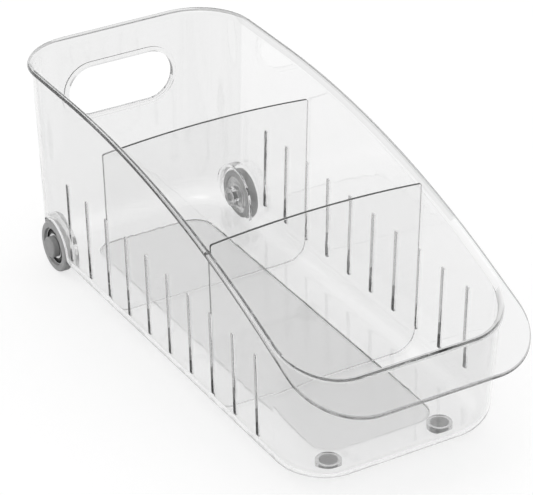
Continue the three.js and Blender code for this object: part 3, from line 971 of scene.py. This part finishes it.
def hole_edge_mask(tree):
    """The upper part of the hand hole's cut face."""
    x, y, z = places_in(tree)
    half_height = HAND_HOLE_HEIGHT / 2
    near_hole = all_of(tree, within(tree, x, 0.0, (HAND_HOLE_WIDTH / 2 + FACE_SLACK) * MM),
                       within(tree, z, (HAND_HOLE_Z + half_height / 2) * MM, half_height * HOLE_EDGE_SHARE * MM),
                       worked(tree, "GREATER_THAN", y, (WALL_REAR_TOP - WALL_BAND) * MM))
    return all_of(tree, near_hole, worked(tree, "LESS_THAN", facing_ends(tree), EDGE_ON))


def front_turn_mask(tree):
    """The rounded turn from the front wall up to the lip."""
    slope = math.atan2(rim_height_at(WALL_FRONT_TOP) - rim_height_at(FRONT_END), LIP_REACH)
    along = facing(tree, (0, -math.sin(slope), math.cos(slope)))
    front_half = wall_half(FRONT_RIM_HEIGHT)
    grown = TURN_WIDTH - WALL
    inside = inside_outline(tree, front_half + grown, (WALL_FRONT_TOP + WALL_REAR_TOP) / 2,
                            (WALL_REAR_TOP - WALL_FRONT_TOP) / 2 + grown, WALL_FRONT_CORNER + grown)
    rounded = all_of(tree, worked(tree, "LESS_THAN", along, FRONT_TURN_STEEPER_THAN),
                     worked(tree, "GREATER_THAN", facing(tree, (0, 0, 1)), FRONT_TURN_FACES_UP))
    in_front = worked(tree, "LESS_THAN", places_in(tree)[1], FRONT_TURN_END_Y * MM)
    return all_of(tree, rounded, inside, in_front, at_rim_height(tree))


def foot_ring_mask(tree):
    """The rings that hold the feet under the floor."""
    x, y, z = places_in(tree)
    aside = worked(tree, "SUBTRACT", worked(tree, "ABSOLUTE", x, 0.0), FOOT_X * MM)
    along = worked(tree, "SUBTRACT", y, FOOT_Y * MM)
    apart = worked(tree, "ADD", worked(tree, "POWER", aside, 2.0), worked(tree, "POWER", along, 2.0))
    ring = (FOOT_RADIUS + GAP + FOOT_RING_WALL + FACE_SLACK) * MM
    return all_of(tree, worked(tree, "LESS_THAN", apart, ring ** 2),
                  worked(tree, "LESS_THAN", z, (UNDERSIDE_HEIGHT - FACE_SLACK) * MM))


def slot_mask(tree):
    """The cut faces of the slots in both side walls."""
    x, y, z = places_in(tree)
    first = REAR_END - FIRST_SLOT_FROM_REAR
    half_row = (SLOT_COUNT - 1) * SLOT_PITCH / 2
    from_first = worked(tree, "DIVIDE", worked(tree, "SUBTRACT", y, first * MM), SLOT_PITCH * MM)
    from_slot = worked(tree, "PINGPONG", from_first, 0.5)
    in_slot = within(tree, from_slot, 0.0, (SLOT_WIDTH / 2 + FACE_SLACK) / SLOT_PITCH)
    in_row = within(tree, y, (first - half_row) * MM, (half_row + SLOT_WIDTH) * MM)
    middle_z = SLOT_BOTTOM_HEIGHT + SLOT_LENGTH / 2
    in_height = within(tree, z, middle_z * MM, (SLOT_LENGTH / 2 + FACE_SLACK) * MM)
    in_wall = within(tree, worked(tree, "ABSOLUTE", x, 0.0), WALL_HALF_TOP * MM, WALL_BAND * MM)
    return all_of(tree, in_slot, in_row, in_height, in_wall)


# The materials themselves

def blended(tree, factor, low, high):
    """A grey between two levels, or between another blend and a level."""
    mix = tree.nodes.new("ShaderNodeMix")
    mix.data_type = "RGBA"
    for name, level in (("A", low), ("B", high)):
        if isinstance(level, float):
            mix.inputs[name].default_value = (level, level, level, 1)
        else:
            tree.links.new(level, mix.inputs[name])
    tree.links.new(factor, mix.inputs["Factor"])
    return mix.outputs["Result"]


def clear_plastic(name):
    """Clear moulded plastic, faintly wavy."""
    material, tree, output = new_material(name)
    plastic = tree.nodes.new("ShaderNodeBsdfPrincipled")
    plastic.inputs["IOR"].default_value = PLASTIC_IOR
    plastic.inputs["Transmission Weight"].default_value = 1.0
    waves = noise_at(tree, WAVE_GRAINS, WAVE_DETAIL)
    tree.links.new(bump(tree, waves, WAVE_HEIGHT, WAVE_STRENGTH), plastic.inputs["Normal"])
    tree.links.new(plastic.outputs[0], output.inputs["Surface"])
    tint = tree.nodes.new("ShaderNodeVolumeAbsorption")
    tint.inputs["Color"].default_value = PLASTIC_TINT
    tree.links.new(tint.outputs[0], output.inputs["Volume"])
    return material, tree, plastic, tint


def between(tree, share, low, high):
    """A number that runs from low to high as a mask runs from zero to one."""
    change = tree.nodes.new("ShaderNodeMapRange")
    change.inputs["To Min"].default_value = low
    change.inputs["To Max"].default_value = high
    tree.links.new(share, change.inputs["Value"])
    return change.outputs["Result"]


def bin_plastic():
    """Clear walls painted darker than the floor, with a lightly frosted panel, duller slots, painted shade on the
    slots and edges, and painted highlights along the panel's border and the front turn.
    """
    material, tree, plastic, tint = clear_plastic("bin_plastic")
    y, z = places_in(tree)[1:]
    panel = panel_mask(tree)
    slots = slot_mask(tree)
    # Painted highlights: a white line inside the panel's border, and the rounded front turn
    highlight_line = panel_border_mask(tree, -HIGHLIGHT_LINE_WIDTH, 0.0)
    front_turn = front_turn_mask(tree)

    # How much light each place lets through: walls painted darker than the floor, with painted shade and painted
    # highlights laid over them
    up_the_wall = tree.nodes.new("ShaderNodeMapRange")
    up_the_wall.inputs["From Min"].default_value = FLOOR_HEIGHT * MM
    up_the_wall.inputs["From Max"].default_value = (FLOOR_HEIGHT + BOTTOM_ROUNDING) * MM
    tree.links.new(z, up_the_wall.inputs["Value"])
    rear_wall = worked(tree, "GREATER_THAN", y, (WALL_REAR_TOP - WALL_REAR_CORNER) * MM)
    # The lower ends of the slots get darker painted shade
    slot_end_shade = worked(tree, "LESS_THAN", z, (SLOT_BOTTOM_HEIGHT + SLOT_END_SHADE_HEIGHT) * MM)
    # Painted shade: walls darker than the floor, the rear wall darkest
    walls = blended(tree, rear_wall, WALL_SHADE_LEVEL, REAR_WALL_SHADE_LEVEL)
    shade = blended(tree, up_the_wall.outputs["Result"], FLOOR_LEVEL, walls)
    for mask, level in (
            (panel, PANEL_LEVEL),
            (panel_border_mask(tree, 0.0, PANEL_DEPTH), PANEL_BORDER_SHADE_LEVEL),
            (slots, blended(tree, slot_end_shade, SLOT_SHADE_LEVEL, SLOT_END_SHADE_LEVEL)),
            (rim_top_mask(tree), RIM_TOP_SHADE_LEVEL),
            (rim_edge_mask(tree), blended(tree, rear_wall, RIM_EDGE_SHADE_LEVEL, REAR_RIM_EDGE_SHADE_LEVEL)),
            (flange_mask(tree), FLANGE_SHADE_LEVEL),
            (hole_edge_mask(tree), HOLE_EDGE_SHADE_LEVEL),
            (foot_ring_mask(tree), FOOT_RING_SHADE_LEVEL),
            (worked(tree, "MAXIMUM", highlight_line, front_turn), PAINTED_HIGHLIGHT_LEVEL)):
        shade = blended(tree, mask, shade, level)
    tree.links.new(shade, plastic.inputs["Base Color"])
    tint.inputs["Density"].default_value = BIN_DENSITY

    # Which places are frosted white as painted highlights, and how dull each is
    painted_highlight = worked(tree, "MAXIMUM", highlight_line, worked(tree, "MULTIPLY", front_turn, FRONT_TURN_HIGHLIGHT_SHARE))
    tree.links.new(between(tree, painted_highlight, 1.0, PAINTED_HIGHLIGHT_CLEARNESS), plastic.inputs["Transmission Weight"])
    dullness = between(tree, worked(tree, "MAXIMUM", panel, slots), CLEAR_ROUGHNESS, DULL_ROUGHNESS)
    softness = worked(tree, "MULTIPLY", front_turn, FRONT_TURN_ROUGHNESS)
    tree.links.new(worked(tree, "MAXIMUM", dullness, softness), plastic.inputs["Roughness"])
    return material


def divider_plastic():
    """Clear plates with painted shade on their edges."""
    material, tree, plastic, tint = clear_plastic("divider_plastic")
    # Painted shade on the edges that stand across the plate
    edge = worked(tree, "LESS_THAN", facing_ends(tree), EDGE_ON)
    tree.links.new(blended(tree, edge, DIVIDER_LEVEL, DIVIDER_EDGE_SHADE_LEVEL), plastic.inputs["Base Color"])
    grain = noise_at(tree, DIVIDER_GRAINS, DIVIDER_DETAIL)
    tree.links.new(spread(tree, grain, DIVIDER_SMOOTHEST, DIVIDER_ROUGHEST), plastic.inputs["Roughness"])
    tint.inputs["Density"].default_value = DIVIDER_DENSITY
    return material


def grey_moulding(name, level, roughness, grains, grain_height, metal=0.0):
    """Moulded grey plastic or rubber: slightly uneven in tone and gloss, with a fine grain."""
    material, tree, output = new_material(name)
    plastic = tree.nodes.new("ShaderNodeBsdfPrincipled")
    tone = tree.nodes.new("ShaderNodeMix")
    tone.data_type = "RGBA"
    tone.inputs["A"].default_value = (*(level * share for share in DARKER_TONE), 1)
    tone.inputs["B"].default_value = (*(level * share for share in LIGHTER_TONE), 1)
    tree.links.new(spread(tree, noise_at(tree, TONE_GRAINS, TONE_DETAIL), 0, 1), tone.inputs["Factor"])
    tree.links.new(tone.outputs["Result"], plastic.inputs["Base Color"])
    plastic.inputs["Metallic"].default_value = metal
    gloss = noise_at(tree, GLOSS_GRAINS, GLOSS_DETAIL)
    tree.links.new(spread(tree, gloss, roughness * (1 - GLOSS_STRAY), roughness * (1 + GLOSS_STRAY)),
                   plastic.inputs["Roughness"])
    grain = noise_at(tree, grains, GRAIN_DETAIL)
    tree.links.new(bump(tree, grain, grain_height, GRAIN_STRENGTH), plastic.inputs["Normal"])
    tree.links.new(plastic.outputs[0], output.inputs["Surface"])
    return material


def hub_moulding():
    """Shiny hub plastic, with painted shade in the groove round the seat of the pin's head."""
    material = grey_moulding("hub_plastic", **HUB_PLASTIC)
    tree = material.node_tree
    across = worked(tree, "ABSOLUTE", places_in(tree)[0], 0.0)
    in_groove = all_of(tree, worked(tree, "LESS_THAN", across, (HUB_FACE - GAP) * MM),
                       worked(tree, "GREATER_THAN", across, (HUB_FACE + HUB_BACK) / 2 * MM))
    plastic = next(node for node in tree.nodes if node.bl_idname == "ShaderNodeBsdfPrincipled")
    tone = plastic.inputs["Base Color"].links[0].from_socket
    tree.links.new(blended(tree, in_groove, tone, HUB_GROOVE_SHADE_LEVEL), plastic.inputs["Base Color"])
    return material


# Camera: where the photograph was taken from, worked out from the evenly spaced slots
CAMERA_PLACE = Vector((-0.7082, -1.2082, 0.8677))
CAMERA_TURN = math.radians(30.37)
CAMERA_TILT = math.radians(29.74)
CAMERA_ROLL = math.radians(-0.35)
CAMERA_LENS = 183.45
CAMERA_SENSOR = 36.0
CAMERA_NEAR = 0.05
CAMERA_FAR = 20.0


def place_camera():
    camera = bpy.data.cameras.new("camera")
    camera.lens = CAMERA_LENS
    camera.sensor_width = CAMERA_SENSOR
    camera.sensor_fit = "HORIZONTAL"
    camera.clip_start = CAMERA_NEAR
    camera.clip_end = CAMERA_FAR
    level = math.cos(CAMERA_TILT)
    forward = Vector((math.sin(CAMERA_TURN) * level, math.cos(CAMERA_TURN) * level, -math.sin(CAMERA_TILT)))
    turn = forward.to_track_quat("-Z", "Y").to_matrix().to_4x4()
    holder = bpy.data.objects.new("camera", camera)
    holder.matrix_world = Matrix.Translation(CAMERA_PLACE) @ turn @ Matrix.Rotation(CAMERA_ROLL, 4, "Z")
    bpy.context.collection.objects.link(holder)
    bpy.context.scene.camera = holder


# Studio: a white paper floor under an even soft light, lower round the horizon and brighter overhead.
# The light's stops are pairs of a height above the horizon in degrees and a level.
FLOOR_SIDE = 8.0
FLOOR_COLOUR = 0.33
FLOOR_LIFT = 0.715
LIGHT_STOPS = [(0, 0.6), (14, 0.68), (24, 0.8), (29, 1.0), (40, 0.92), (70, 0.9), (78, 1.6), (90, 2.4)]
LIGHT_BOUNCES = 128


def make_floor():
    """White paper under the bin, lifted to white where it is seen, straight or through the plastic."""
    mesh = bpy.data.meshes.new("floor")
    half = FLOOR_SIDE / 2
    corners = [(-half, -half, 0), (half, -half, 0), (half, half, 0), (-half, half, 0)]
    mesh.from_pydata(corners, [], [(0, 1, 2, 3)])
    floor = bpy.data.objects.new("floor", mesh)
    bpy.context.collection.objects.link(floor)
    material, tree, output = new_material("floor_paper")
    paper = tree.nodes.new("ShaderNodeBsdfDiffuse")
    paper.inputs["Color"].default_value = (FLOOR_COLOUR, FLOOR_COLOUR, FLOOR_COLOUR, 1)
    lift = tree.nodes.new("ShaderNodeEmission")
    path = tree.nodes.new("ShaderNodeLightPath")
    seen = worked(tree, "MAXIMUM", path.outputs["Is Camera Ray"], path.outputs["Is Glossy Ray"])
    seen = worked(tree, "MAXIMUM", seen, path.outputs["Is Transmission Ray"])
    tree.links.new(worked(tree, "MULTIPLY", seen, FLOOR_LIFT), lift.inputs["Strength"])
    both = tree.nodes.new("ShaderNodeAddShader")
    tree.links.new(paper.outputs[0], both.inputs[0])
    tree.links.new(lift.outputs[0], both.inputs[1])
    tree.links.new(both.outputs[0], output.inputs["Surface"])
    mesh.materials.append(material)


def make_studio():
    """Light from all round, which the camera itself sees as plain white."""
    world = bpy.data.worlds.new("studio")
    bpy.context.scene.world = world
    world.use_nodes = True
    tree = world.node_tree
    tree.nodes.clear()
    output = tree.nodes.new("ShaderNodeOutputWorld")
    backdrop = tree.nodes.new("ShaderNodeBackground")
    coordinates = tree.nodes.new("ShaderNodeTexCoord")
    parts = tree.nodes.new("ShaderNodeSeparateXYZ")
    ramp = tree.nodes.new("ShaderNodeValToRGB")
    tree.links.new(coordinates.outputs["Generated"], parts.inputs[0])
    tree.links.new(parts.outputs["Z"], ramp.inputs["Fac"])
    stops = ramp.color_ramp.elements
    stops_at_first = len(stops)
    for index, (height, level) in enumerate(LIGHT_STOPS):
        place = math.sin(math.radians(height))
        stop = stops[index] if index < stops_at_first else stops.new(place)
        stop.position = place
        stop.color = (level, level, level, 1)
    path = tree.nodes.new("ShaderNodeLightPath")
    seen = blended(tree, path.outputs["Is Camera Ray"], ramp.outputs["Color"], 1.0)
    tree.links.new(seen, backdrop.inputs["Color"])
    tree.links.new(backdrop.outputs[0], output.inputs["Surface"])


def dress(piece, node, body, material):
    """Gives a piece its finish, and puts it in the place of the plain solid of the same part."""
    piece.data.materials.clear()
    piece.data.materials.append(material)
    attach(piece, body)
    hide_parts(node)


place_camera()
make_floor()
make_studio()

clear_bin = bin_plastic()
dress(make_bin(clear_bin), "bin_body", "bin", clear_bin)
clear_divider = divider_plastic()
for divider, slot_number in DIVIDER_SLOTS.items():
    dress(make_divider(divider, slot_number), divider, divider, clear_divider)

tread_rubber = grey_moulding("tread_rubber", **TREAD_RUBBER)
hub_plastic = hub_moulding()
pin_plastic = grey_moulding("pin_plastic", **PIN_PLASTIC)
foot_rubber = grey_moulding("foot_rubber", **FOOT_RUBBER)
for word, side in (("left", -1), ("right", 1)):
    for node, make, body, slot, finish in (
            ("tyre", make_tyre, f"{word}_wheel", "wheel_rubber", tread_rubber),
            ("wheel_hub", make_hub, f"{word}_wheel", "grey_plastic", hub_plastic),
            ("axle_pin", make_pin, "bin", "grey_plastic", pin_plastic),
            ("front_foot", make_foot, "bin", "foot_rubber", foot_rubber)):
        piece = make(side)
        piece.name = f"{word}_{piece.name}"
        smooth(piece)
        dress(piece, f"{word}_{node}", body, finish)

bpy.context.scene.cycles.max_bounces = LIGHT_BOUNCES
bpy.context.scene.cycles.glossy_bounces = LIGHT_BOUNCES
bpy.context.scene.cycles.transmission_bounces = LIGHT_BOUNCES
bpy.context.scene.view_settings.view_transform = "Standard"
